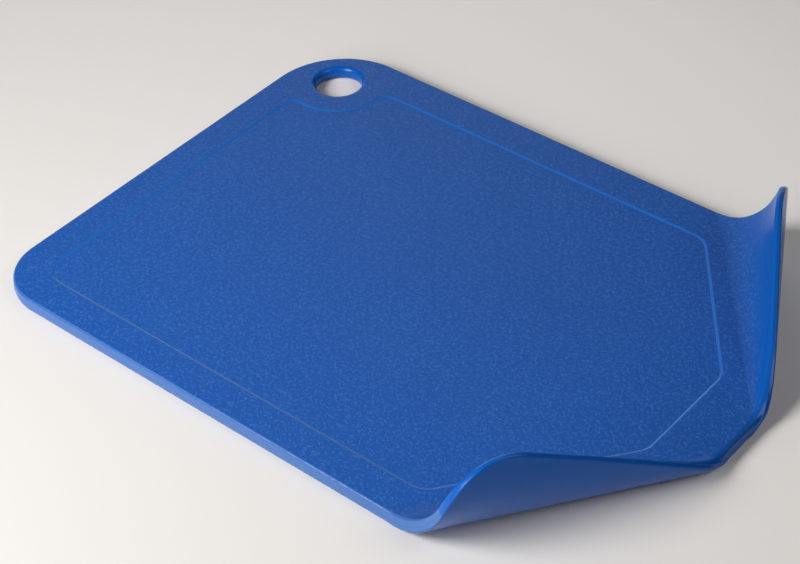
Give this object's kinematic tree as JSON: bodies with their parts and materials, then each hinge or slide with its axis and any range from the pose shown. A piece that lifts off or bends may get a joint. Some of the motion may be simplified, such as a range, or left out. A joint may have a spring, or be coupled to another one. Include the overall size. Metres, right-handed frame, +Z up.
{
  "type": "cutting board",
  "caption": "Moulded plastic cutting board with a sunk cutting field, a corner hanging hole and curled-up corner wings that form a pouring chute.",
  "frame": {"origin": "middle of the deck's underside", "axes": "+X along the board towards the pouring edge, +Y towards the long side with the hanging hole, +Z up"},
  "size_m": [0.3317, 0.2452, 0.0487],
  "materials": {
    "blue_plastic": "satin moulded polypropylene, fine leather-like grain on the deck, smooth wings, edges and underside"
  },
  "bodies": {
    "root": {"board": "blue_plastic"}
  },
  "joints": []
}
